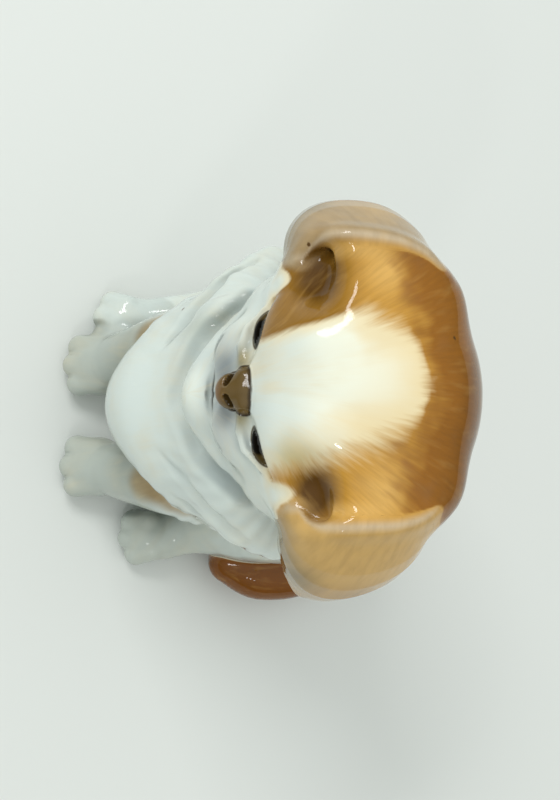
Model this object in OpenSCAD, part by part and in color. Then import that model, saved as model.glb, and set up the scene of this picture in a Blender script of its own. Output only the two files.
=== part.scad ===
// Sitting toy-dog figurine in glazed porcelain.
// Each node is one casting. The castings are hollow or solid bodies of clay that are
// cut to fit, luted face to face with slip, and then fired and glazed as one figure.
// +Z is up, the dog looks along -Y, its left side is +X, and it stands on z = 0.

/* [Figure] */
// Height from the foot to the crown
figure_h = 103; // [98:1:108]
// Width across the mane at the shoulders
mane_w = 64; // [60:1:66]
// Depth of the belly and rump
rump_d = 48; // [46:1:52]

/* [Head] */
// Width of the skull between the ears
head_w = 47; // [45:1:49]
// Depth of the skull from brow to nape
head_d = 40; // [38:1:42]
// Height of the skull
head_h = 37; // [35:1:39]

/* [Ears] */
// Distance between the outer edges of the two ears
ear_span = 73; // [71:1:75]
// Thickness of an ear
ear_t = 4; // [3.5:0.5:5]
// How far an ear hangs below its fold
ear_drop = 28; // [26:1:30]

/* [Legs and tail] */
// Width of a front paw
paw_w = 15; // [14:0.5:16]
// Width of a hind paw
hind_paw_w = 12.5; // [11.5:0.5:13]
// Thickness of the tail
tail_t = 13; // [12:0.5:14]

/* [Casting] */
// Wall of the hollow castings
wall = 3.2; // [2.6:0.2:4]
// Radius of the vent hole in the foot of the torso
vent_r = 1.6; // [1.2:0.2:1.8]
// Radius of the passage between the torso and the head
neck_r = 8; // [6:0.5:10]

/* [Hidden] */

white = [0.93, 0.95, 0.94];
cream = [0.93, 0.86, 0.74];
tan = [0.78, 0.56, 0.32];
brown = [0.48, 0.24, 0.06];

outer_fn = 30; // facets round an outer form
inner_fn = 16; // facets round a cavity
small_fn = 16; // facets round toes, ear ribs and the tail

LEFT = 1;
RIGHT = -1;

// Head
skull_r = [head_w / 2, head_d / 2, head_h / 2];
skull_c = [0, -0.5, figure_h - skull_r.z];
crown_c = skull_c + [skull_r.x - 7.5, 3, 6.5]; // the ear roots widen the crown
brow_c = skull_c + [9, 7 - skull_r.y, 4];
cheek_c = skull_c + [skull_r.x - 10.5, -8, -10];
jowl_c = skull_c + [6, 4 - skull_r.y, -9];
chin_c = skull_c + [0, 1.5 - skull_r.y, -16.5];
nose_c = skull_c + [0, -0.5 - skull_r.y, -3.5];
eye_c = skull_c + [9.7, 3 - skull_r.y, -0.5];

// Torso
mane_r = [mane_w / 2, 23, 17];
mane_c = [0, -2, skull_c.z - 28.5];
chest_r = [23.5, 24, 21];
chest_c = [0, -7, mane_c.z - 23];
nape_r = [19, 14, 16];
nape_c = [0, 9, mane_c.z + 10];
back_r = [23, 21, 22];
back_c = [0, 10, 38];
rump_r = [26, rump_d / 2, 26];
rump_c = [0, 12, 20];

// Legs. Those of the left side are given, and the right side mirrors them, apart
// from the right hind paw, which is drawn further forward.
shoulder_c = [17, -13, 40];
elbow_c = [14.5, -19, 26];
wrist_c = [12.5, -24, 11];
front_paw_c = [11.5, -27.3, 5];
haunch_c = [24.5, 9, 18];
haunch_r = [11, 17, 19];
hock_c = [26, -5, 6.5];
hind_paw_c = [27.5, -14, 4.5];
right_lead = [3, 8]; // how far the right hind paw stands in from and ahead of the left one
hind_paw_turn = 8; // a hind paw points this far outwards

// Tail, lying round the left hip from root to tip
tail_path = [[4, 36, 10], [16, 36, 9], [27, 31, 8.5], [34, 22, 8], [35, 12, 7.5], [33, 4, 6.5]];
tail_swell = [0.75, 0.95, 1, 1, 0.9, 0.6];

// Ear: its fold stands on the skull, and its edge hangs clear of the cheek
fold_z = skull_c.z + 13.5;
edge_z = fold_z - ear_drop;
ear_x = ear_span / 2 - ear_t / 2;
ear_fold = [
    [20, -13.5, fold_z - 5],
    [22, -8, fold_z - 0.5],
    [22.3, -2, fold_z],
    [20.5, 4.5, fold_z - 1.5],
    [16.5, 10, fold_z - 6],
];
ear_edge = [
    [ear_x - 13, -10, edge_z + 7],
    [ear_x - 4.5, -4, edge_z + 2],
    [ear_x, 3, edge_z],
    [ear_x - 4, 9, edge_z + 2],
    [ear_x - 11.5, 13, edge_z + 8],
];
ear_steps = 4; // patches from the fold to the edge
ear_bulge = 2; // how far an ear swells outwards between its fold and its edge

below = 40; // depth of the block that cuts the foot flat

// A point between a and b, where t runs from 0 to 1.
function mix(a, b, t) = a + (b - a) * t;

// A point on rib i of the ear, where s runs from the fold to the edge.
function ear_point(i, s) =
    mix(ear_fold[i], ear_edge[i], s)
    + [cos(20 * (i - 2)), sin(20 * (i - 2)), 0.5] * ear_bulge * sin(180 * s);

// An ellipsoid with its centre at c, its half sizes r drawn in by inset.
module ball(c, r, inset = 0, fn = outer_fn) {
    translate(c)
        scale([r.x - inset, r.y - inset, r.z - inset])
            sphere(r = 1, $fn = fn);
}

// Mirrors its children to the dog's right side where side is RIGHT.
module on_side(side) {
    scale([side, 1, 1]) children();
}

// Joins neighbouring pairs of balls, given as [centre, radii], into one limb.
module limb(balls, fn = small_fn) {
    for (i = [0:len(balls) - 2])
        hull() {
            ball(balls[i][0], balls[i][1], 0, fn);
            ball(balls[i + 1][0], balls[i + 1][1], 0, fn);
        }
}

// Removes everything under the surface that the figure stands on.
module flat_foot() {
    difference() {
        children();
        translate([-100, -100, -below]) cube([200, 200, below]);
    }
}

module head_form() {
    // Crown, from ear root to ear root
    hull() {
        ball(skull_c, skull_r);
        for (side = [LEFT, RIGHT])
            ball([side * crown_c.x, crown_c.y, crown_c.z], [7.5, 10.5, 7.5]);
    }
    // Forehead and the brow, which hangs over the eyes
    hull() {
        ball(skull_c, skull_r);
        for (side = [LEFT, RIGHT])
            ball([side * brow_c.x, brow_c.y, brow_c.z], [8, 7, 6]);
    }
    for (side = [LEFT, RIGHT])
        hull() {
            ball([side * cheek_c.x, cheek_c.y, cheek_c.z], [10, 10, 10]);
            ball([side * jowl_c.x, jowl_c.y, jowl_c.z], [8, 7.5, 7]);
        }
    hull() {
        ball(jowl_c - [jowl_c.x, 0, 0], [8, 7, 7]);
        ball(chin_c, [8, 6.5, 5.5]);
    }
}

// The raised nose and eyeballs, which are solid clay.
module face_relief() {
    hull() {
        ball(nose_c + [0, 0, 1.5], [4.6, 2.8, 2.4], 0, small_fn);
        ball(nose_c + [0, 0.5, -1.5], [2.6, 2.6, 2.4], 0, small_fn);
    }
    for (side = [LEFT, RIGHT])
        hull() {
            ball([side * eye_c.x, eye_c.y, eye_c.z], [3.4, 2.4, 2], 0, small_fn);
            ball([side * (eye_c.x + 2.5), eye_c.y + 1, eye_c.z + 0.3], [2.5, 2, 1.4], 0, small_fn);
        }
}

module torso_form(inset = 0, fn = outer_fn) {
    hull() {
        ball(rump_c, rump_r, inset, fn);
        ball(back_c, back_r, inset, fn);
    }
    hull() {
        ball(back_c, back_r, inset, fn);
        ball(chest_c, chest_r, inset, fn);
    }
    hull() {
        ball(chest_c, chest_r, inset, fn);
        ball(mane_c, mane_r, inset, fn);
    }
    hull() {
        ball(mane_c, mane_r, inset, fn);
        ball(nape_c, nape_r, inset, fn);
    }
    hull() {
        ball(nape_c, nape_r, inset, fn);
        ball(back_c, back_r, inset, fn);
    }
}

// The passage that joins the two cavities, so that air can leave the head in the kiln.
module neck_passage() {
    translate([0, 2, mane_c.z]) cylinder(h = 26, r = neck_r, $fn = 32);
}

module torso_casting() {
    color(white)
        difference() {
            flat_foot() torso_form();
            intersection() {
                torso_form(wall, inner_fn);
                translate([-100, -100, wall]) cube([200, 200, 200]);
            }
            head_form();
            neck_passage();
            translate([0, rump_c.y, -1]) cylinder(h = wall + 2, r = vent_r, $fn = 32);
        }
}

module head_casting() {
    color(cream)
        difference() {
            union() {
                head_form();
                face_relief();
            }
            ball(skull_c, skull_r, wall, inner_fn);
            neck_passage();
        }
}

module ear(side) {
    color(tan)
        on_side(side)
            difference() {
                for (i = [0:len(ear_fold) - 2], j = [0:ear_steps - 1])
                    hull()
                        for (di = [0, 1], dj = [0, 1])
                            translate(ear_point(i + di, (j + dj) / ear_steps))
                                sphere(d = ear_t, $fn = small_fn);
                head_form();
                torso_form();
            }
}

module foreleg_form() {
    limb([
        [shoulder_c, [8.5, 8.5, 10]],
        [elbow_c, [7.5, 7.5, 8]],
        [wrist_c, [6.3, 6.5, 6.5]],
        [front_paw_c, [paw_w / 2 - 0.5, 7, 5.5]],
    ]);
    // Four toes fan out along the front of the paw.
    for (toe = [-1.5:1:1.5])
        hull() {
            ball(front_paw_c + [toe * 2.4, -1, 0], [2.6, 5, 4.8], 0, small_fn);
            ball(front_paw_c + [toe * paw_w * 0.23, -5.5 + abs(toe) * 0.9, -1.2], [2, 3, 3.6], 0, small_fn);
        }
}

module foreleg(side) {
    color(white)
        on_side(side)
            difference() {
                flat_foot() foreleg_form();
                torso_form();
            }
}

module hind_leg_form(lead = [0, 0]) {
    limb([
        [haunch_c + [0, 3, 0], haunch_r - [0, 2, 0]],
        [haunch_c + [1, -5, -5], haunch_r - [2, 6, 6]],
        [hock_c, [7, 8, 6.5]],
    ]);
    translate(hind_paw_c - [lead.x, lead.y, 0])
        rotate([0, 0, hind_paw_turn]) {
            hull() {
                ball([lead.x, 8 + lead.y, 1], [6, 7, 5.2], 0, small_fn);
                ball([0, 0, 0], [hind_paw_w / 2 - 0.5, 6, 4.8], 0, small_fn);
            }
            // Four toes along the front of the paw.
            for (toe = [-1.5:1:1.5])
                hull() {
                    ball([toe * 2.2, -1, 0], [2.3, 4.5, 4.3], 0, small_fn);
                    ball([toe * hind_paw_w * 0.22, -5 + abs(toe) * 0.8, -1], [1.8, 2.6, 3.2], 0, small_fn);
                }
        }
}

module hind_leg(side, lead = [0, 0]) {
    color(white)
        on_side(side)
            difference() {
                flat_foot() hind_leg_form(lead);
                torso_form();
                foreleg_form();
            }
}

module tail() {
    color(brown)
        difference() {
            flat_foot()
                limb([
                    for (i = [0:len(tail_path) - 1])
                        [tail_path[i], [1, 1, 1] * tail_t / 2 * tail_swell[i]]
                ]);
            torso_form();
            hind_leg_form();
        }
}

torso_casting();
head_casting();
ear(LEFT);  // left_ear
ear(RIGHT);  // right_ear
foreleg(LEFT);  // left_foreleg
foreleg(RIGHT);  // right_foreleg
hind_leg(LEFT);  // left_hind_leg
hind_leg(RIGHT, right_lead);  // right_hind_leg
tail();
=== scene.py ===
import math

import bpy
import numpy as np
from mathutils import Matrix, Vector


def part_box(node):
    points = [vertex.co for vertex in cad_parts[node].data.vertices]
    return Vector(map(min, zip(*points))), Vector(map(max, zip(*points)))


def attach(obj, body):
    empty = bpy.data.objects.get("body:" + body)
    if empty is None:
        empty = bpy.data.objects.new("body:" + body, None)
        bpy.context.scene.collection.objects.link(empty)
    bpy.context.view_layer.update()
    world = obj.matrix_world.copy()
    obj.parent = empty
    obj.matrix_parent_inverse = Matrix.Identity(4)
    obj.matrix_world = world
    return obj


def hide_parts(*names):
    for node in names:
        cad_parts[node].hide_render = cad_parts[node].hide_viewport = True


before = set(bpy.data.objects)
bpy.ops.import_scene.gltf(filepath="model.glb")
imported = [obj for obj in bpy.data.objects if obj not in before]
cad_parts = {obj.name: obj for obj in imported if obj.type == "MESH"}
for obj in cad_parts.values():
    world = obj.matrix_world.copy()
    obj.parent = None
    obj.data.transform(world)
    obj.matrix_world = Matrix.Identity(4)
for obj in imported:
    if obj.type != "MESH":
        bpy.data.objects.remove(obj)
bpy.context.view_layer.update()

MM = 0.001
PARTS = [
    "torso_casting",
    "head_casting",
    "left_ear",
    "right_ear",
    "left_foreleg",
    "right_foreleg",
    "left_hind_leg",
    "right_hind_leg",
    "tail",
]
TORSO, HEAD = 0, 1
EARS, FORELEGS, HIND_LEGS, TAIL = (2, 3), (4, 5), (6, 7), 8  # each pair is left, then right
LEFT, RIGHT = 1, -1
# How softly each casting's form flows into the ones before it
SEAMS = [0, 4, 2.2, 2.2, 2.6, 2.6, 4, 4, 2]
STEP = 0.45  # spacing of the sculpting grid
BLOCK = 16  # grid cells along one side of a block that is worked out at once
FAR = 12.0  # distance given to clay that is out of reach
REACH = 3  # how far round a form its distance is worked out


def corner(node, which):
    """The low (0) or high (1) corner of a CAD casting, in millimetres."""
    return np.array(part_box(node)[which][:]) / MM


def of_side(pair, side):
    """The left or the right one of a pair of castings."""
    return pair[0] if side == LEFT else pair[1]


HEAD_HIGH, TORSO_HIGH = corner("head_casting", 1), corner("torso_casting", 1)
EAR_LOW, EAR_HIGH = corner("left_ear", 0), corner("left_ear", 1)
SKULL = np.array([0, HEAD_HIGH[1] - 20, HEAD_HIGH[2] - 18.5])
CROWN, CROWN_R = np.array([0, 0.8, 0]), [23.3, 20.6, 18.3]  # the skull's main ball, from SKULL
MANE = np.array([0, -2, SKULL[2] - 28.5])


# ---------------------------------------------------------------- sculpting clay

lumps = []  # clay that is added, as (part, blend, low, high, distance)
cuts = []  # clay that is cut away, in the same form


def join(a, b, k):
    """The union of two distances, blended over k."""
    h = np.maximum(k - np.abs(a - b), 0) / k
    return np.minimum(a, b) - h * h * k / 4


def carve(a, b, k):
    """Distance a with distance b taken away, blended over k."""
    return -join(-a, b, k)


def ball_distance(c, r):
    """Distance to an ellipsoid of half sizes r, close to true near its surface."""
    c, r = np.asarray(c, float), np.broadcast_to(np.asarray(r, float), (3,))
    tiny = 1e-6

    def distance(p):
        q = p - c
        a = np.linalg.norm(q / r, axis=1)
        b = np.linalg.norm(q / r**2, axis=1)
        return (a - 1) * (a + tiny) / (b + tiny / r.min())

    return distance


def limb_distance(a, ra, b, rb):
    """Distance to a rod from a to b that tapers from radius ra to rb."""
    a, b = np.asarray(a, float), np.asarray(b, float)
    ab = b - a

    def distance(p):
        t = np.clip(((p - a) @ ab) / (ab @ ab), 0, 1)
        return np.linalg.norm(p - a - t[:, None] * ab, axis=1) - (ra + (rb - ra) * t)

    return distance


def chain_distance(points, radii):
    """Distance to tapered rods that run on from point to point."""
    radii = list(np.broadcast_to(np.asarray(radii, float), (len(points),)))
    rods = [limb_distance(*rod) for rod in zip(points, radii, points[1:], radii[1:])]
    return lambda p: np.min([rod(p) for rod in rods], axis=0)


def put(store, part, blend, low, high, distance):
    """Keeps a form with the box that it has any effect in."""
    pad = blend + REACH
    store.append((part, blend, np.asarray(low) - pad, np.asarray(high) + pad, distance))


def ball(part, c, r, blend, store=lumps):
    """An ellipsoid of half sizes r."""
    c, r = np.asarray(c, float), np.asarray(r, float)
    put(store, part, blend, c - r, c + r, ball_distance(c, r))


def limb(part, points, radii, blend, store=lumps):
    """Rods that run on from point to point."""
    points = np.asarray(points, float)
    top = np.max(radii)
    low, high = points.min(0) - top, points.max(0) + top
    put(store, part, blend, low, high, chain_distance(points, radii))


def groove(points, radii, blend):
    limb(None, points, radii, blend, cuts)


def mirrored(point, side):
    return np.asarray(point, float) * [side, 1, 1]


def smooth_path(points, count):
    """count points on a Catmull-Rom curve through points."""
    p = np.asarray(points, float)
    p = np.vstack([2 * p[0] - p[1], p, 2 * p[-1] - p[-2]])
    out = []
    for s in np.linspace(0, len(p) - 3 - 1e-6, count):
        i, t = int(s), s - int(s)
        a, b, c, d = p[i : i + 4]
        square, cube = 2 * a - 5 * b + 4 * c - d, 3 * b - a - 3 * c + d
        out.append(0.5 * (2 * b + (c - a) * t + square * t**2 + cube * t**3))
    return np.array(out)


# ---------------------------------------------------------------- the dog's forms


def make_torso():
    # Rump and back
    ball(TORSO, [0, 12, 20], [26, 24, 26], 8)
    ball(TORSO, [0, 10, 38], [23, 21, 22], 8)
    # The bib that hangs over the forelegs, the mane, the nape and the throat
    ball(TORSO, MANE + [-0.5, -7, -14], [23.2, 21.6, 14.5], 7)
    ball(TORSO, MANE + [-0.7, -12, -21.8], [14.6, 18.2, 14], 7)
    ball(TORSO, MANE + [-0.7, 0, 0], [30.4, 22.5, 16.5], 9)
    ball(TORSO, MANE + [0, 11, 10], [19, 14, 16], 8)
    ball(TORSO, MANE + [0, -10, 8], [19, 12, 11], 6)


def on_head(points, side):
    """Points of the head's left side, measured from SKULL, placed on either side."""
    return [SKULL + mirrored(p, side) for p in points]


# The nose and its forms, which are measured from NOSE
NOSE = SKULL + [0.5, -19.8, -1.5]
NOSE_WING, NOSE_BRIDGE, NOSE_TIP = [2.05, -0.6, 0.5], [0, -0.5, 0.3], [0, -2.3, -1.7]
NOSTRIL = [[1.1, -3.7, -0.1], [1.8, -3.3, -0.1], [2.6, -2.7, -0.2]]
# The left eye and the mouth, which are measured from SKULL
EYE, EYE_R = np.array([8.6, -15.9, 0.2]), [4.2, 3.4, 3.1]
MOUTH = [[-9, -21.8, -8.4], [-5, -23, -9.8], [0, -22.8, -11.4], [5, -22.8, -10.6], [9.4, -21.8, -9]]
MOUTH_POINTS = 13


def make_head():
    ball(HEAD, SKULL + CROWN, CROWN_R, 4)
    for side in (LEFT, RIGHT):
        # Side of the crown, forehead, cheek and jowl
        ball(HEAD, SKULL + mirrored([16, 4, 6.3], side), [7.3, 10.8, 7.3], 6)
        ball(HEAD, SKULL + mirrored([8.4, -11.0, 4.8], side), [8.4, 6.8, 6], 5)
        ball(HEAD, SKULL + mirrored([12.6, -7.5, -9.6], side), [9.8, 9.6, 9.6], 5)
        ball(HEAD, SKULL + mirrored([5.6, -15.4, -8.6], side), [7.6, 7.8, 5.8], 3)
        # Clay behind the ear flap, and the cheek tuft that laps over its front
        ball(HEAD, SKULL + mirrored([18.2, -4, 0], side), [6, 9.5, 10.5], 4)
        ball(HEAD, SKULL + mirrored([17.6, -9.6, 1.2], side), [5, 5.6, 6], 2.5)
        tuft = [[13.6, -13.6, -1], [16.8, -12.6, -3.5], [19.4, -10.4, -8]]
        limb(HEAD, on_head(tuft, side), [2.6, 2.6, 1.4], 2)
        # The ridge where the forehead turns down to the brow
        ridge = [[12, -6.4, 10], [8.5, -7, 10.5], [7, -8.9, 10.2], [6.3, -11.3, 8.9]]
        limb(HEAD, on_head(ridge, side), 4.5, 2.5)
        make_ear_root(side)
        make_eye(side)
    # Muzzle and chin
    ball(HEAD, SKULL + [0, -15, -4.5], [7, 5.8, 6], 4)
    ball(HEAD, SKULL + [0.2, -19.6, -16.2], [6, 6.4, 5.6], 3.5)
    make_nose()
    groove(SKULL + smooth_path(MOUTH, MOUTH_POINTS), 0.45, 0.9)


def nose_distance(n):
    """Distance to the nose's two wings and its tip, where n is measured from NOSE."""
    bridge, tip = ball_distance(NOSE_BRIDGE, 2.4), ball_distance(NOSE_TIP, [3, 2.6, 2.6])
    d = join(bridge(n), tip(n), 1.2)
    for side in (LEFT, RIGHT):
        d = join(d, ball_distance(mirrored(NOSE_WING, side), 1.8)(n), 0.7)
    return d


def make_nose():
    put(lumps, HEAD, 0.8, NOSE - 6, NOSE + 6, lambda p: nose_distance(p - NOSE))
    for side in (LEFT, RIGHT):
        groove([NOSE + mirrored(p, side) for p in NOSTRIL], [0.45, 0.4, 0.25], 0.5)
    # The line from the nose down to the lip
    groove([NOSE + [0, -4.4, -2.6], NOSE + [0, -4.2, -3.8], NOSE + [0, -2.9, -9.6]], 0.25, 0.6)


def make_eye(side):
    at = SKULL + mirrored(EYE, side)
    # The socket runs outwards from the nose under the brow.
    path = [[4.2, -20.6, -0.8], [6.4, -20.8, -0.2], [9, -20.2, 0.3], [12.4, -18.2, 0.6], [15.6, -15, 1.2]]
    groove(on_head(path, side), [0.7, 1.6, 2.0, 1.4, -0.6], 1.1)
    lid = [[4.6, -20.2, -1.8], [7.2, -20.3, -2.9], [10, -19.4, -2.9], [12.8, -17.2, -1.4]]
    limb(HEAD, on_head(lid, side), [0.5, 0.8, 0.8, 0.5], 1.2)
    lumps.append(("eye", 0.4, at - 6, at + 6, ball_distance(at, EYE_R)))


EAR_RIBS = 23
RIB_POINTS = 7


def ear_curves(side):
    """An ear's fold and its free edge, each from front to rear, as if on the left."""
    top, edge, out = EAR_HIGH[2] - 1.8, EAR_LOW[2] + 2, EAR_HIGH[0] - 2.8
    fold = [
        [19.2, -14.2, top - 8.7],
        [21.7, -12.9, top - 4.4],
        [21.9, -10.4, top - 1.4],
        [21.7, -6, top],
        [21.4, -1, top],
        [19.9, 4.4, top - 1],
        [16.4, 9, top - 3.8],
    ]
    flare = 0.8 if side == LEFT else -0.7
    rim = [
        [out - 14.6, -10.4, edge + 8],
        [out - 7.8, -9.2, edge + 3.5],
        [out - 2.2 + flare, -5.6, edge + 0.7],
        [out + flare, -0.9, edge],
        [out - 0.6, 4.5, edge + 2],
        [out - 3.6, 8.6, edge + 5],
        [out - 9.5, 12, edge + 9],
    ]
    shift = [0.2 if side == LEFT else 1.5, 0, 0]
    return smooth_path(np.array(fold) + shift, EAR_RIBS), smooth_path(rim, EAR_RIBS)


def make_ear_root(side):
    """The web of the crown that reaches out to the ear's fold."""
    fold = ear_curves(side)[0]
    for point in fold[EAR_RIBS // 3 :: 2]:
        x, y = 13.5, point[1] * 0.9 + 0.5
        depth = max(0, 1 - (x / CROWN_R[0]) ** 2 - ((y - SKULL[1] - CROWN[1]) / CROWN_R[1]) ** 2)
        root = [x, y, min(SKULL[2] + CROWN_R[2] * math.sqrt(depth), point[2] + 1) - 2.6]
        limb(HEAD, [mirrored(root, side), mirrored(point + [-0.8, 0, -0.4], side)], [2.4, 1.1], 3)


def make_ear(side):
    """Ribs that run side by side from the fold to the free edge, bowed outwards."""
    for i, (fold, rim) in enumerate(zip(*ear_curves(side))):
        place = i / (EAR_RIBS - 1)
        spread = math.radians(60 * (place - 0.5))
        swell = np.array([math.cos(spread), math.sin(spread), 0.35])
        bulge = 1.2 + 1.2 * math.sin(math.pi * place)
        rib = smooth_path([fold, (fold + rim) / 2 + swell * bulge, rim], RIB_POINTS)
        thick = 0.6 + 0.4 * math.sin(math.pi * min(max(place, 0.06), 0.94))
        along = np.linspace(0, 1, RIB_POINTS)
        radii = np.interp(along, [0, 0.25, 0.7, 1], [1.3, 1.9, 2.3, 1.5]) * thick
        limb(of_side(EARS, side), [mirrored(p, side) for p in rib], radii, 1.8)
    # The hollow in front of the ear's root
    ball(None, SKULL + mirrored([17.2, -14.8, 11.4], side), [4.2, 4.4, 4.6], 4.5, store=cuts)


def make_foreleg(side):
    part = of_side(FORELEGS, side)
    paw = np.array([11.5, -27.3, 5])
    path = [[16.8, -7.5, 42], [16.2, -12, 33], [14.6, -17.5, 23], [12.8, -22.8, 12], paw + [0, 1, 0.6]]
    limb(part, [mirrored(p, side) for p in path], [7.4, 7.4, 6.8, 6.1, 5.6], 3)
    make_toes(part, paw, side, 4.1, 7.0, 0)


def make_toes(part, paw, side, spacing, reach, turn):
    """A paw with three toes that point forward, turned outwards by turn."""
    ball(part, mirrored(paw, side), [spacing * 1.62, reach - 0.4, 5.0], 2)
    c, s = math.cos(turn), math.sin(turn)
    for toe in (-1, 0, 1):
        x, y = toe * spacing, -reach + 1.6 + abs(toe) * 1.1
        front = paw + [x * c - y * s, x * s + y * c, -1.1]
        x, y = toe * spacing * 0.85, -0.5
        back = paw + [x * c - y * s, x * s + y * c, 2.0]
        limb(part, [mirrored(back, side), mirrored(front, side)], [2.6, 2.9], 0.7)


def make_hind_leg(side):
    part = of_side(HIND_LEGS, side)
    turn = math.radians(8)
    paw = np.array([27, -14, 4.6]) if side == LEFT else np.array([22.5, -21.5, 4.6])
    ball(part, mirrored([22.4, 12, 18], side), [10.2, 15, 18.4], 5)
    ball(part, mirrored([22.8, 4, 12.5], side), [8.4, 11.5, 13], 5)
    limb(part, [mirrored([24.4, -3, 8], side), mirrored(paw + [0, 4, 0.5], side)], [6, 5.2], 4)
    make_toes(part, paw, side, 3.5, 6.2, turn)


TAIL_POINTS = 40


def make_tail():
    path = [[2, 34, 12], [14, 36.5, 9.5], [26, 32, 8.5], [34, 22, 8], [35.3, 12, 7.6], [33, 5, 6.4]]
    radii = np.interp(np.linspace(0, 5, TAIL_POINTS), range(6), [5.2, 6.2, 6.6, 6.8, 6.6, 5.2])
    limb(TAIL, smooth_path(path, TAIL_POINTS), radii, 2)


def make_folds():
    """The V of the neck below the jowls and the soft folds of the mane."""
    for side in (LEFT, RIGHT):
        neck = [[17, -14.5, 68], [10, -22.5, 63.5], [1, -26, 58.5]]
        groove([mirrored(p, side) for p in neck], [0.8, 1.1, 0.8], 4)
        upper = [[26.5, -11.3, 60.5], [21.5, -18, 58], [15.7, -22.4, 54.6], [9, -25.6, 50]]
        groove([mirrored(p, side) for p in upper], [-0.8, 0.2, 0, -2.2], 3.5)
        lower = [[27.5, -11, 54], [22.5, -17, 50.5], [17.5, -21.3, 46]]
        groove([mirrored(p, side) for p in lower], [-0.8, 0.2, -1.6], 3)
    vent = TORSO_HIGH[1] - 23.8  # the hole in the foot
    groove([[0, vent, -3], [0, vent, 9]], 3.5, 0.4)


def foot_distance(p):
    """Distance below the plane that the figure stands on."""
    return -p[:, 2]


def coat(p):
    """Height of the soft locks of hair over the plain forms."""
    x, y, z = p.T
    around = np.arctan2(x, 4 - y) * 25
    down = np.hypot(x, y - 4) * 0.4 - z
    sway = 1.6 * np.sin(down * 0.17 + 1.3 * np.sin(around * 0.11))
    broad = np.sin(around * 0.62 + sway) * np.sin(down * 0.21 + around * 0.19)
    fine = np.sin(around * 1.9 + 2.2 * sway)
    side = np.clip(np.abs(around) / 20 - 0.2, 0, 1)
    body = np.clip((z - 14) / 14, 0, 1) * np.clip((76 - z) / 12, 0, 1)
    return body * side * (0.42 * broad + 0.14 * fine)


def clay(p, near_lumps=None, near_cuts=None):
    """Distance to the surface at points p, and each casting's own distance."""
    d = np.full((len(PARTS), len(p)), FAR)
    eyes = np.full(len(p), FAR)
    for part, k, low, high, distance in lumps if near_lumps is None else near_lumps:
        near = ((p > low) & (p < high)).all(1)
        if near.any():
            row = eyes if part == "eye" else d[part]
            row[near] = join(row[near], distance(p[near]), k)
    body = d[TORSO]
    for i in range(HEAD, len(PARTS)):
        body = join(body, d[i], SEAMS[i])
    body = body - coat(p)
    for part, k, low, high, distance in cuts if near_cuts is None else near_cuts:
        near = ((p > low) & (p < high)).all(1)
        if near.any():
            body[near] = carve(body[near], distance(p[near]), k)
    body = join(body, eyes, 0.5)
    return np.maximum(body, foot_distance(p)), d


# ---------------------------------------------------------------- meshing


CORNERS = [(a, b, c) for a in (0, 1) for b in (0, 1) for c in (0, 1)]
EDGES = [
    (m, n)
    for m in range(8)
    for n in range(m + 1, 8)
    if sum(abs(x - y) for x, y in zip(CORNERS[m], CORNERS[n])) == 1
]


def sample_grid(low, high):
    """Distances and casting numbers at the corners of a regular grid."""
    shape = np.ceil((high - low) / STEP).astype(int) + 1
    field = np.full(shape, FAR, np.float32)
    label = np.zeros(shape, np.int8)
    for i in range(0, shape[0], BLOCK):
        for j in range(0, shape[1], BLOCK):
            for k in range(0, shape[2], BLOCK):
                start = np.array([i, j, k])
                size = np.minimum(BLOCK, shape - start)
                a, b = low + start * STEP, low + (start + size) * STEP
                near = [m for m in lumps if (m[2] < b).all() and (m[3] > a).all()]
                if not near:
                    continue
                near_cuts = [m for m in cuts if (m[2] < b).all() and (m[3] > a).all()]
                steps = np.indices(size).reshape(3, -1).T + start
                f, d = clay(low + steps * STEP, near, near_cuts)
                where = tuple(slice(s, s + n) for s, n in zip(start, size))
                field[where] = f.reshape(size)
                label[where] = np.where(f < 0, d.argmin(0) + 1, 0).reshape(size)
    return field, label


def corners_of(grid, cells):
    """The eight corner values of each cell, as an n by 8 array."""
    i, j, k = cells.T
    return np.stack([grid[i + a, j + b, k + c] for a, b, c in CORNERS], 1)


def net_points(field, label, cells):
    """One point in each cell that a surface crosses, at the mean of its crossings.

    Also says which points are on the outside, and gives the cells' corner labels.
    """
    f, c = corners_of(field, cells), corners_of(label, cells)
    total, count = np.zeros((len(cells), 3)), np.zeros(len(cells))
    for m, n in EDGES:
        crossed = c[:, m] != c[:, n]
        outer = crossed & ((c[:, m] == 0) | (c[:, n] == 0))
        t = np.full(len(cells), 0.5)
        t[outer] = np.clip(f[outer, m] / (f[outer, m] - f[outer, n]), 0, 1)
        a, b = np.array(CORNERS[m]), np.array(CORNERS[n])
        total += crossed[:, None] * (a + (b - a) * t[:, None])
        count += crossed
    return cells + total / count[:, None], (c == 0).any(1), c


def net_faces(label, index):
    """Quads between unlike grid corners, as (quads, label in front, label behind)."""
    out = []
    for axis in range(3):
        u, v = (axis + 1) % 3, (axis + 2) % 3
        a = np.moveaxis(label, (axis, u, v), (0, 1, 2))
        x = np.moveaxis(index, (axis, u, v), (0, 1, 2))
        hit = np.argwhere(a[:-1, 1:-1, 1:-1] != a[1:, 1:-1, 1:-1])
        i, j, k = hit[:, 0], hit[:, 1] + 1, hit[:, 2] + 1
        quad = np.stack([x[i, j - 1, k - 1], x[i, j, k - 1], x[i, j, k], x[i, j - 1, k]], 1)
        out.append((quad, a[i, j, k], a[i + 1, j, k]))
    quads, low, high = (np.concatenate(group) for group in zip(*out))
    return quads, low, high


SLOPE_REACH, NORMAL_REACH = 0.12, 0.25  # how far apart the surface is felt


def gradient(p, e=SLOPE_REACH):
    """Direction of steepest rise of the distance at points p, not normalised."""
    g = np.zeros_like(p)
    for s in ((1, -1, -1), (-1, -1, 1), (-1, 1, -1), (1, 1, 1)):
        s = np.array(s, float)
        g += clay(p + s * e)[0][:, None] * s
    return g / (4 * e)


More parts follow.
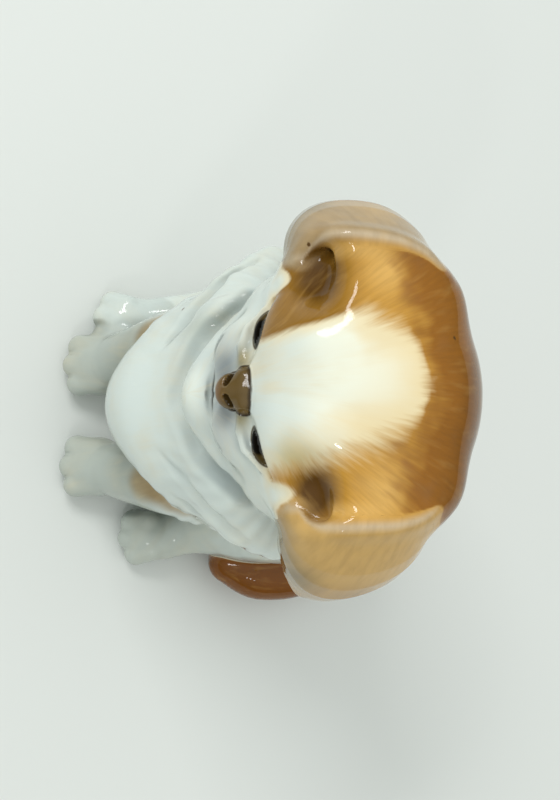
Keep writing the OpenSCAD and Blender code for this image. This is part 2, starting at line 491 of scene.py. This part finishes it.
def settle(p, rounds=2):
    """Moves points onto the exact surface, by no more than a grid step a round."""
    for _ in range(rounds):
        f, g = clay(p)[0], gradient(p)
        move = -f[:, None] * g / np.maximum((g * g).sum(1), 0.05)[:, None]
        size = np.linalg.norm(move, axis=1)
        move *= np.minimum(1, STEP / np.maximum(size, 1e-9))[:, None]
        p = p + move
    return p


def average(p, a, b):
    """The mean of each point's neighbours along edges a-b, or the point itself."""
    size = len(p)
    n = np.bincount(a, minlength=size) + np.bincount(b, minlength=size)
    sums = [np.bincount(a, p[b, i], size) + np.bincount(b, p[a, i], size) for i in range(3)]
    return np.where(n[:, None] > 0, np.stack(sums, 1) / np.maximum(n, 1)[:, None], p)


def relax(p, quads, is_outer_quad, outer, seam, rounds=3):
    """Evens out the net. Outer points slide over the surface, and seams along seams."""

    def edges(keep, test):
        q = quads[keep]
        e = np.concatenate([q[:, [0, 1]], q[:, [1, 2]], q[:, [2, 3]], q[:, [3, 0]]])
        return e[test(e)].T

    skin_all = edges(is_outer_quad, lambda e: outer[e].all(1))
    along = edges(is_outer_quad, lambda e: seam[e].all(1))
    inner = edges(~is_outer_quad, lambda e: np.ones(len(e), bool))
    for _ in range(rounds):
        new = average(p, *skin_all)
        new[seam] = average(p, *along)[seam]
        new[~outer] = average(p, *inner)[~outer]
        p = p + 0.5 * (new - p)
        p[outer] = settle(p[outer], 1)
    p[outer] = settle(p[outer], 2)
    return p


def sculpt():
    """The whole figure as one net: points, normals, and a list of quads per casting."""
    low = np.min([corner(node, 0) for node in PARTS], axis=0) - REACH
    high = np.max([corner(node, 1) for node in PARTS], axis=0) + REACH
    field, label = sample_grid(low, high)
    lo, hi = label[:-1, :-1, :-1].copy(), label[:-1, :-1, :-1].copy()
    n = np.array(label.shape) - 1
    for a, b, c in CORNERS:
        part = label[a : a + n[0], b : b + n[1], c : c + n[2]]
        lo, hi = np.minimum(lo, part), np.maximum(hi, part)
    cells = np.argwhere(lo != hi)
    index = np.full(label.shape, -1, np.int32)
    index[tuple(cells.T)] = np.arange(len(cells))
    points, outer, c = net_points(field, label, cells)
    points = low + points * STEP
    quads, behind, front = net_faces(label, index)
    is_outer = (behind == 0) | (front == 0)
    top = c.max(1)
    seam = outer & (np.where(c == 0, top[:, None], c).min(1) != top)
    points[outer] = settle(points[outer])
    points = relax(points, quads, is_outer, outer, seam)
    normals = gradient(points, NORMAL_REACH)
    normals /= np.maximum(np.linalg.norm(normals, axis=1), 1e-6)[:, None]
    shells = []
    for i in range(1, len(PARTS) + 1):
        ahead, back = quads[behind == i], quads[front == i][:, ::-1]
        shells.append(np.concatenate([ahead, back]))
    return points, normals, shells


def make_mesh(name, points, normals, quads, fields):
    """One casting's mesh, with the sculpt's normals and the paint fields stored on it."""
    used, faces = np.unique(quads, return_inverse=True)
    faces = faces.reshape(-1, 4)
    mesh = bpy.data.meshes.new(name)
    mesh.vertices.add(len(used))
    mesh.vertices.foreach_set("co", (points[used] * MM).astype(np.float32).ravel())
    mesh.loops.add(faces.size)
    mesh.loops.foreach_set("vertex_index", faces.astype(np.int32).ravel())
    mesh.polygons.add(len(faces))
    mesh.polygons.foreach_set("loop_start", np.arange(0, faces.size, 4, dtype=np.int32))
    mesh.update(calc_edges=True)
    mesh.validate()
    mesh.polygons.foreach_set("use_smooth", np.ones(len(mesh.polygons), bool))
    mesh.normals_split_custom_set_from_vertices(normals[used].tolist())
    for key, values in fields.items():
        kept = values[used].astype(np.float32)
        layer = mesh.attributes.new(key, "FLOAT" if kept.ndim == 1 else "FLOAT_VECTOR", "POINT")
        layer.data.foreach_set("value" if kept.ndim == 1 else "vector", kept.ravel())
    return add(name, mesh)


# ---------------------------------------------------------------- paint


# Linear colours
WHITE = (0.71, 0.79, 0.75)
LOW_SHADE_WHITE = (0.50, 0.55, 0.50)
BLAZE = (0.86, 0.88, 0.74)
CHIN = (0.82, 0.88, 0.80)
# Grey for painted shade, also used for a faint random mottle
SHADE_AND_MOTTLE_GREY = (0.33, 0.39, 0.38)
CREAM = (0.84, 0.66, 0.34)
GOLD = (0.58, 0.30, 0.045)
PALE_GOLD = (0.74, 0.44, 0.12)
BROWN = (0.30, 0.112, 0.004)
DEEP_BROWN = (0.17, 0.062, 0.004)
BAND_BROWN = (0.26, 0.125, 0.012)
UMBER = (0.10, 0.042, 0.002)
BROW_GREY = (0.42, 0.40, 0.23)
EAR_TAN = (0.42, 0.29, 0.14)
EAR_GOLD = (0.66, 0.41, 0.13)
EAR_EDGE = (0.34, 0.18, 0.045)
EAR_RIDGE_HIGHLIGHT = (0.62, 0.50, 0.34)
EAR_SHADE = (0.19, 0.14, 0.055)
MUZZLE_SHADE = (0.30, 0.34, 0.36)
TAIL_BROWN = (0.19, 0.058, 0.0)
EYE_CORNER_SHADE = (0.24, 0.21, 0.10)
NOSE_SHADE = (0.20, 0.23, 0.24)
RUFF_SHADE = (0.42, 0.44, 0.33)
LEG_SHADE = (0.17, 0.20, 0.17)
BISCUIT = (0.60, 0.55, 0.46)  # bare clay under the feet
LEG_TAN = (0.28, 0.165, 0.035)
NOSE_BROWN = (0.21, 0.13, 0.035)
NOSE_PINK = (0.38, 0.19, 0.075)
NOSE_DARK = (0.03, 0.017, 0.004)
EYE_BLACK = (0.003, 0.002, 0.001)
EYE_BROWN = (0.07, 0.045, 0.012)
LINE = (0.05, 0.045, 0.035)


def ramp(x, low, high):
    """0 below low and 1 above high, smooth between."""
    t = np.clip((x - low) / (high - low), 0, 1)
    return t * t * (3 - 2 * t)


def near(q, place, radius):
    """1 at a place and 0 from radius outwards, smooth between."""
    far = np.linalg.norm((q - np.asarray(place, float)) / np.asarray(radius, float), axis=1)
    return ramp(1 - far, 0, 1)


def mix(a, b, t):
    """Colour a where t is 0 and colour b where it is 1."""
    t = np.asarray(t)[:, None]
    return np.asarray(a) * (1 - t) + np.asarray(b) * t


def path_distance(q, points):
    """Distance from points q to a polyline."""
    best = np.full(len(q), 99.0)
    for a, b in zip(points, points[1:]):
        best = np.minimum(best, limb_distance(a, 0, b, 0)(q))
    return best


# Where the brown cap begins on the dog's right and left, along y from the skull's middle
BLAZE_Y = [-20, -16, -12, -9, -6, -3, 0, 2, 3.4]
BLAZE_RIGHT = [7, 8.8, 9.9, 11.2, 11.2, 9.6, 8.2, 5.0, 0]
BLAZE_LEFT = [14.5, 13.4, 12.2, 10.8, 9.4, 8.0, 6.6, 4.4, 0]


def cap_edge(q):
    """How far inside the edge of the brown cap, over how softly that edge is painted."""
    x, y, z = q.T
    side = np.maximum(-x - np.interp(y, BLAZE_Y, BLAZE_RIGHT), x - np.interp(y, BLAZE_Y, BLAZE_LEFT))
    edge = np.maximum(side, y - 3 + 0.03 * x * x)
    low = np.interp(y, [-22, -14, -8, -2, 6, 20], [0.8, 0.8, 2.5, -2, -8, -9])
    low = low - ramp(y, 6, 14) * (7 * np.exp(-((x / 9) ** 2)) + 1.2 * np.sin(x * 0.8))
    soft = 1.6 + 1.6 * ramp(x, 2, 8) * ramp(y, -18, -4) * ramp(-y, -3, 2)
    soft = soft + 0.8 * ramp(-x, 5, 9) * ramp(-y, -2, 1) * ramp(y, -9, -6)
    soft = soft - 1.1 * ramp(-x, 2, 6) * ramp(-y, 6, 11)
    return np.minimum(edge / soft, (z - low) * 1.4)


def concavity(points, normals):
    """How hollow the surface is, from 0 on open forms to 1 in a deep fold."""
    total = np.zeros(len(points))
    for reach in (1.5, 4.0):
        total += np.clip(1 - clay(points + normals * reach)[0] / reach, 0, 1)
    return total / 2


# The tan on the forelegs, as a path down each leg and its half width
LEFT_TAN = [[21, -15, 46], [18.4, -18, 38], [15, -22.8, 27.5]], 6
RIGHT_TAN = [[-20.5, -14, 43], [-18, -19, 33], [-16.2, -22.5, 27]], 5.2
SPECKS, SPECK_R = [[-8.2, 8.6, 99.8], [-18, -21.8, 50.7], [-22.6, -14.1, 92.7]], 0.54


def ground_color(points, normals, q, hollow, distances):
    """The white of the glaze with its cream and grey tints, and painted grey shade in hollows, underneath
    and low down. q is measured from SKULL.
    """
    y, z = q[:, 1], q[:, 2]
    height = points[:, 2]
    # The white darkens towards the floor as painted shade, on all but the dog's far right side.
    low = ramp(-height, -46, -8) * ramp(points[:, 0], -21, -17)
    white = mix(WHITE, LOW_SHADE_WHITE, low)
    white = mix(white, BLAZE, ramp(z, -2, 4) * ramp(y, -21, -11))
    white = mix(white, CREAM, ramp(z, 3, 9) * ramp(y, -12, 3) * 0.55)
    white = mix(white, CREAM, near(q, [6, -6, 16], [7, 9, 7]) * 0.35)
    white = mix(white, CREAM, near(q, [0.4, -17.6, 5.6], [1.7, 5, 5]) * 0.4)
    white = mix(white, CHIN, near(q, [0, -25, -15.5], [7, 6, 6]))
    # Painted shade on the dog's right ruff.
    white = mix(white, RUFF_SHADE, near(q, [-13, -20, -24], [6, 8, 10]) * 0.5)
    # Painted shade: grey in hollows and creases.
    color = mix(white, SHADE_AND_MOTTLE_GREY, ramp(hollow, 0.06, 0.7) * 0.75)
    # Painted shade on surfaces that face down, below the level of the eyes.
    under = ramp(-normals[:, 2], -0.55, 0.7) * ramp(-z, 2, 8)
    color = mix(color, SHADE_AND_MOTTLE_GREY, under * 0.4)
    # Painted shade over the muzzle under the nose.
    color = mix(color, MUZZLE_SHADE, near(q, [0, -22.5, -6.4], [16, 7, 7.5]))
    color = mix(color, BROW_GREY, near(q, [11.6, -15.2, 8.6], [6, 5.6, 6]))
    # Painted shade beside the nose and in the hollow between each eye and the nose.
    for side in (LEFT, RIGHT):
        color = mix(color, NOSE_SHADE, near(q, mirrored([4.6, -22.4, -5], side), [3.4, 4, 4]) * 0.6)
        color = mix(color, EYE_CORNER_SHADE, near(q, mirrored([5, -20.8, -1.7], side), [4, 3, 2.6]) * 0.9)
    return leg_color(color, points, normals, hollow, distances)


def leg_color(color, points, normals, hollow, distances):
    """Adds the tan of the forelegs, the shade under the bib and the bare foot."""
    height, body = points[:, 2], distances[TORSO]
    on_leg = ramp(body - np.minimum(*(distances[i] for i in FORELEGS)), -0.4, 0.5)
    for path, width in (LEFT_TAN, RIGHT_TAN):
        tan = ramp(-path_distance(points, path), -width, -0.3 * width)
        color = mix(color, LEG_TAN, tan * on_leg * 0.9)
    toes = ramp(hollow, 0.05, 0.4) * ramp(-height, -9, -6)
    color = mix(color, BISCUIT, ramp(-height, -0.4, -0.1) * ramp(-normals[:, 2], 0.7, 0.9))
    under_bib = on_leg * ramp(-body, -15, -4) * ramp(-height, -32, -20)
    return mix(color, LEG_SHADE, np.maximum(under_bib * 0.6, toes * 0.7))


def over_color(q, ears, tail):
    """The brown paint of the cap, the ears and the tail, and where the ear flaps are."""
    x, y, z = q.T
    pale = near(q, [17, -3, 13], [7, 6, 8]) + near(q, [-18, -3, 13], [6, 6, 8])
    color = mix(GOLD, PALE_GOLD, pale)
    color = mix(color, BAND_BROWN, ramp(-y, 5, 12) * ramp(-x, 4, 8) * 0.9)
    for side in (LEFT, RIGHT):
        # The hollow in front of each ear is deepened to umber, partly brown paint and partly painted
        # shade.
        pocket_umber_and_shade = near(q, mirrored([17.4, -11.8, 8.4], side), [7.5, 5.5, 7.5])
        color = mix(color, UMBER, np.minimum(1.4 * pocket_umber_and_shade, 1))
    folds = [ear_curves(side)[0] - SKULL for side in (LEFT, RIGHT)]
    left, right = (np.abs(x) - np.interp(y, fold[:, 1], fold[:, 0]) for fold in folds)
    outside = np.where(x > 0, left, right)
    flap = ramp(-ears, -1.4, -0.3) * np.maximum(ramp(outside, -1.6, 0.2), ramp(-z, -8, -4))
    # A lighter gold band just inside each fold, at the front, is a painted highlight along the ridge.
    glow = ramp(-np.abs(outside + 2.2), -2.2, 0) * ramp(-y, 1, 6) * ramp(z, 8, 11)
    color = mix(color, PALE_GOLD, glow * 0.8)
    color = mix(color, flap_color(q, outside), flap)
    return mix(color, TAIL_BROWN, ramp(tail, 0, 0.35)), flap


def flap_color(q, outside):
    """The tan of the ear flaps, where outside is the distance out from the fold."""
    x, y, z = q.T
    tone = mix(EAR_TAN, EAR_GOLD, ramp(x, -5, 5))
    tone = mix(tone, EAR_EDGE, ramp(np.abs(x), 30, 35) * 0.6)
    # A lighter band along the fold is a painted highlight on the ear's ridge.
    tone = mix(tone, EAR_RIDGE_HIGHLIGHT, ramp(-np.abs(outside), -1.5, 0) * 0.8)
    tone = mix(tone, EAR_GOLD, near(q, [-30, -1, 6], [6, 8, 9]) * 0.5)
    return mix(tone, EAR_SHADE, ramp(-y, 5, 10.5) * ramp(-z, -8, 3) * 0.9)


NO_BROWN = -12


def brown_edge(points, q, part, tail):
    """How far inside the brown paint of the cap, the rump, the ears and the tail."""
    edge = np.where(part <= HEAD, cap_edge(q), NO_BROWN)
    rump = 30 * near(points, [5, 31, 18], [25, 20, 29]) + NO_BROWN
    edge = np.where(part != HEAD, np.maximum(edge, rump), edge)
    edge = np.maximum(edge, np.where(np.isin(part, EARS), 6, NO_BROWN))
    # The white tuft that comes up in front of each ear
    tufts = (near(q, mirrored([17.4, -14.6, 2.2], side), [3.2, 4.5, 4.8]) for side in (LEFT, RIGHT))
    edge = edge - 8 * sum(tufts)
    return np.maximum(edge, 10 * (tail - 0.5))


def eye_fields(q):
    """How far inside the eyes and inside their pupils."""
    eye, iris = np.full(len(q), -9.0), np.full(len(q), -9.0)
    for side in (LEFT, RIGHT):
        at = mirrored(EYE, side)
        eye = np.maximum(eye, 0.35 - ball_distance(at, EYE_R)(q))
        pupil = at + mirrored([-0.1, -2.8, 1.0], side)
        iris = np.maximum(iris, 2.7 - np.linalg.norm((q - pupil) / [1, 1, 0.85], axis=1))
    return {"eye": eye, "iris": iris}


def nose_fields(n):
    """Paint of the nose, where n is measured from NOSE. Its upper rim stays dark."""
    nose = 0.45 - nose_distance(n)
    top = ramp(n @ [0, 0.9, 0.39], 0.1, 0.9)
    nose = np.where(nose > 0.05, 0.05 + (nose - 0.05) * (1 - top), nose)
    far = [path_distance(n, [mirrored(p, side) for p in NOSTRIL]) for side in (LEFT, RIGHT)]
    wing = near(n, [0, -4.2, -1.8], [3, 2.4, 2.4])
    return {"nose": nose, "wing": wing, "nostril": 0.75 - np.minimum(*far)}


def mouth_fields(q):
    """Height over the line of the mouth, and how dark that line is painted."""
    line = smooth_path(MOUTH, MOUTH_POINTS)
    mouth = q[:, 2] - np.interp(q[:, 0], line[:, 0], line[:, 2])
    lips = near(q, [0.4, -23.6, -11], [5.5, 3, 3]) + 0.45 * near(q, [0, -22.6, -9.8], [11, 5, 5])
    return {"mouth": mouth, "lips": lips}


def paint_fields(points, normals):
    """Everything the glaze needs to know at each point, by attribute name."""
    q = points - SKULL
    distances = clay(points)[1]
    part = distances.argmin(0)
    ears = np.minimum(*(distances[i] for i in EARS))
    hollow = concavity(points, normals)
    tail = ramp(-distances[TAIL], -1.2, -0.2)
    over, flap = over_color(q, ears, tail)
    specks = [SPECK_R - np.linalg.norm(points - s, axis=1) for s in np.array(SPECKS)]
    return {
        "base": ground_color(points, normals, q, hollow, distances),
        "over": over,
        "tone": q[:, 1] + 0.12 * np.abs(q[:, 0]) - 2.5 - 30 * np.maximum(flap, tail),
        "edge": brown_edge(points, q, part, tail),
        **eye_fields(q),
        **nose_fields(points - NOSE),
        **mouth_fields(q),
        "speck": np.max(specks, axis=0),
        "flow": flow(points, q, part),
    }


def flow(points, q, part):
    """Coordinates across and along the hair, in millimetres."""
    x, y, z = points.T
    across, ahead = q[:, 0], q[:, 1] + 26  # the hair of the head fans out from the nose
    head = np.stack([np.arctan2(across, ahead) * 26, np.hypot(across, ahead), q[:, 2] * 0.3], 1)
    body = np.stack([np.arctan2(x, 6 - y) * 24, z, z * 0], 1)
    ear = np.stack([y, z, np.abs(x)], 1) * 0.3
    tail = np.stack([z, np.arctan2(x - 8, y - 12) * 30, np.hypot(x - 8, y - 12)], 1)
    out = np.where((part == HEAD)[:, None], head, body)
    out = np.where((part == TAIL)[:, None], tail, out)
    return np.where(np.isin(part, EARS)[:, None], ear, out)


# ---------------------------------------------------------------- glaze


class Nodes:
    """Short calls for building one material."""

    def __init__(self, name):
        self.mat = bpy.data.materials.new(name)
        self.mat.use_nodes = True
        self.tree = self.mat.node_tree
        self.bsdf = self.tree.nodes["Principled BSDF"]

    def new(self, kind, *links, **settings):
        node = self.tree.nodes.new(kind)
        for key, value in settings.items():
            setattr(node, key, value)
        for socket, value in links:
            self.feed(node.inputs[socket], value)
        return node

    def feed(self, socket, value):
        if isinstance(value, bpy.types.NodeSocket):
            self.tree.links.new(value, socket)
        else:
            socket.default_value = value

    def attribute(self, name, output="Fac"):
        return self.new("ShaderNodeAttribute", attribute_name=name).outputs[output]

    def math(self, operation, a, b=0.0, c=0.0):
        node = self.new("ShaderNodeMath", (0, a), (1, b), (2, c), operation=operation)
        return node.outputs[0]

    def sway(self, noise, size, value):
        """value, moved up and down by noise."""
        return self.math("MULTIPLY_ADD", self.math("SUBTRACT", noise, 0.5), size, value)

    def step(self, value, low, high):
        node = self.new("ShaderNodeMapRange", ("Value", value), ("From Min", low), ("From Max", high))
        node.interpolation_type = "SMOOTHSTEP"
        return node.outputs[0]

    def blend(self, a, b, t):
        node = self.new("ShaderNodeMix", data_type="RGBA")
        for socket, value in ((6, a), (7, b), (0, t)):
            self.feed(node.inputs[socket], value)
        return node.outputs[2]

    def noise(self, vector, scale, detail=2.0):
        node = self.new("ShaderNodeTexNoise", ("Vector", vector), ("Scale", scale), ("Detail", detail))
        return node.outputs["Fac"]

    def stretch(self, vector, scale):
        node = self.new("ShaderNodeVectorMath", (0, vector), (1, scale), operation="MULTIPLY")
        return node.outputs[0]


def brown_paint(n, strand, brush, soft):
    """The cap's browns, from gold in front to deep brown behind, with hair strokes."""
    over = n.attribute("over", "Color")
    tone = n.sway(brush, 6.0, n.attribute("tone"))
    tone = n.sway(soft, 14.0, tone)
    over = n.blend(over, (*BROWN, 1), n.step(tone, -3.0, 3.5))
    over = n.blend(over, (*DEEP_BROWN, 1), n.math("MULTIPLY", n.step(tone, 4.0, 16.0), 0.85))
    streak = n.math("MULTIPLY", n.step(strand, 0.35, 0.75), 0.16)
    over = n.blend(over, (*UMBER, 1), streak)
    return n.blend(over, (*PALE_GOLD, 1), n.math("MULTIPLY", n.step(brush, 0.5, 0.8), 0.15))


def coat_paint(n, strand, brush, soft):
    """White ground with a cream rim where it meets the brown, which feathers out."""
    push = n.sway(strand, 1.1, n.attribute("edge"))
    push = n.sway(brush, 1.8, push)
    cream = n.sway(soft, 6.0, push)
    base = n.attribute("base", "Color")
    base = n.blend(base, (*CREAM, 1), n.math("MULTIPLY", n.step(cream, -6.0, 0.5), 0.65))
    color = n.blend(base, brown_paint(n, strand, brush, soft), n.step(push, -1.2, 1.2))
    return n.blend(color, (*SHADE_AND_MOTTLE_GREY, 1), n.math("MULTIPLY", n.step(soft, 0.5, 0.8), 0.06))


def face_paint(n, color):
    """Adds the nose, the line of the mouth, the eyes and the specks."""
    nose = n.blend((*NOSE_BROWN, 1), (*NOSE_PINK, 1), n.attribute("wing"))
    nose = n.blend((*NOSE_DARK, 1), nose, n.step(n.attribute("nose"), 0.1, 0.8))
    nose = n.blend(nose, (*NOSE_DARK, 1), n.step(n.attribute("nostril"), 0.0, 0.35))
    color = n.blend(color, nose, n.step(n.attribute("nose"), -0.15, 0.15))
    line = n.step(n.math("ABSOLUTE", n.attribute("mouth")), 0.5, 0.12)
    color = n.blend(color, (*LINE, 1), n.math("MULTIPLY", line, n.attribute("lips")))
    iris = n.blend((*EYE_BROWN, 1), (*EYE_BLACK, 1), n.step(n.attribute("iris"), -0.3, 0.5))
    color = n.blend(color, iris, n.step(n.attribute("eye"), -0.1, 0.15))
    return n.blend(color, (*UMBER, 1), n.step(n.attribute("speck"), 0.0, 0.3))


def glaze_material(name, specular, ior):
    n = Nodes(name)
    hair = n.attribute("flow", "Vector")
    strand = n.noise(n.stretch(hair, (2.6, 0.22, 1)), 1.0, 3)
    brush = n.noise(n.stretch(hair, (0.9, 0.12, 1)), 1.0, 2)
    soft = n.noise(n.stretch(hair, (0.12, 0.12, 0.12)), 1.0, 2)
    n.feed(n.bsdf.inputs["Base Color"], face_paint(n, coat_paint(n, strand, brush, soft)))
    n.feed(n.bsdf.inputs["Roughness"], 0.05)
    n.feed(n.bsdf.inputs["Specular IOR Level"], specular)
    n.feed(n.bsdf.inputs["IOR"], ior)
    height = n.math("MULTIPLY", strand, 0.5)
    bump = n.new("ShaderNodeBump", ("Height", height), ("Strength", 0.06), ("Distance", 0.0004))
    n.feed(n.bsdf.inputs["Normal"], bump.outputs[0])
    return n.mat


# ---------------------------------------------------------------- stage


def add(name, data):
    """A new object in the scene that shows data."""
    thing = bpy.data.objects.new(name, data)
    bpy.context.collection.objects.link(thing)
    return thing


def make_floor():
    mesh = bpy.data.meshes.new("studio_floor")
    s = 3.0
    mesh.from_pydata([(-s, -s, 0), (s, -s, 0), (s, s, 0), (-s, s, 0)], [], [(0, 1, 2, 3)])
    floor = add("studio_floor", mesh)
    paper = Nodes("studio_paper")
    paper.feed(paper.bsdf.inputs["Base Color"], (0.73, 0.76, 0.73, 1))
    paper.feed(paper.bsdf.inputs["Roughness"], 0.6)
    floor.data.materials.append(paper.mat)


def make_lamp(name, size, power):
    lamp = bpy.data.lights.new(name, "AREA")
    lamp.shape, lamp.energy = "RECTANGLE", power
    lamp.size, lamp.size_y = size
    return add(name, lamp)


def make_light(name, place, target, size, power):
    ob = make_lamp(name, size, power)
    ob.location = place
    ob.rotation_euler = (Vector(target) - Vector(place)).to_track_quat("-Z", "Y").to_euler()


def make_strip(name, start, end, target, width, power):
    """A long lamp from start to end that shines on target."""
    start, end, target = Vector(start), Vector(end), Vector(target)
    middle = (start + end) / 2
    along, back = (end - start).normalized(), (middle - target).normalized()
    across = back.cross(along).normalized()
    ob = make_lamp(name, ((end - start).length, width), power)
    turned = Matrix([along, across, along.cross(across)]).transposed().to_4x4()
    ob.matrix_world = Matrix.Translation(middle) @ turned


def make_world():
    world = bpy.data.worlds.new("studio")
    world.use_nodes = True
    tree = world.node_tree
    place = tree.nodes.new("ShaderNodeTexCoord")
    split = tree.nodes.new("ShaderNodeSeparateXYZ")
    glow = tree.nodes.new("ShaderNodeMapRange")
    tree.links.new(place.outputs["Generated"], split.inputs[0])
    tree.links.new(split.outputs["Z"], glow.inputs["Value"])
    # Dim at the horizon and bright overhead
    for socket, value in (("From Min", 0.0), ("From Max", 0.85), ("To Min", 0.22), ("To Max", 0.95)):
        glow.inputs[socket].default_value = value
    background = tree.nodes["Background"]
    tree.links.new(glow.outputs[0], background.inputs["Strength"])
    background.inputs["Color"].default_value = (0.96, 0.99, 0.97, 1)
    bpy.context.scene.world = world
    bpy.context.scene.view_settings.view_transform = "Standard"


def make_lights():
    aim = (0, 0, 0.09)
    make_strip("window", (-0.68, -0.20, 0.74), (-0.40, -0.52, 0.70), aim, 0.17, 3.3)
    make_light("lamp", (0.36, -0.22, 0.42), aim, (0.05, 0.05), 0.18)


def make_camera():
    """Looks steeply down on the dog's face, rolled on its side as the picture is."""
    turn, rise, roll = math.radians(13.43), math.radians(67.07), math.radians(-11.37)
    distance, target = 185.7, np.array([1.08, -12.04, 76.81])
    back = [math.sin(turn) * math.cos(rise), -math.cos(turn) * math.cos(rise), math.sin(rise)]
    back = np.array(back)
    level = np.array([math.cos(turn), math.sin(turn), 0])
    up = np.cross(back, level)
    side = level * math.cos(roll) + up * math.sin(roll)
    above = -level * math.sin(roll) + up * math.cos(roll)
    data = bpy.data.cameras.new("camera")
    data.sensor_fit, data.sensor_height, data.lens = "VERTICAL", 36, 48.5
    data.clip_start = 0.01
    cam = add("camera", data)
    turned = Matrix([above, -side, back]).transposed().to_4x4()
    cam.matrix_world = Matrix.Translation((target + back * distance) * MM) @ turned
    bpy.context.scene.camera = cam


# Name, specular level and IOR: the eyes and nostrils sit in shade, and the nose is wetter
GLAZES = [("painted_glaze", 0.32, 1.5), ("eye_glaze", 0.3, 1.08), ("nose_glaze", 0.4, 1.5)]


def glaze_face(piece, fields):
    """Gives the eyes and nostrils the second glaze and the nose the third."""
    dark = (fields["eye"] > 0.3) | (fields["nostril"] > 0.1)
    nose = fields["nose"] > 0
    for face in piece.data.polygons:
        corners = list(face.vertices)
        face.material_index = 1 if dark[corners].all() else 2 if nose[corners].all() else 0


def make_dog():
    make_torso()
    make_head()
    for side in (LEFT, RIGHT):
        make_ear(side)
        make_foreleg(side)
        make_hind_leg(side)
    make_tail()
    make_folds()
    points, normals, shells = sculpt()
    fields = paint_fields(points, normals)
    glazes = [glaze_material(*kind) for kind in GLAZES]
    for name, quads in zip(PARTS, shells):
        piece = make_mesh(name + "_glazed", points, normals, quads, fields)
        for glaze in glazes[: 3 if name == "head_casting" else 1]:
            piece.data.materials.append(glaze)
        if name == "head_casting":
            glaze_face(piece, {key: values[np.unique(quads)] for key, values in fields.items()})
        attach(piece, "root")
        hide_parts(name)
        print(name, len(piece.data.vertices), "points")


make_camera()
make_world()
make_lights()
make_floor()
make_dog()
bpy.context.view_layer.update()
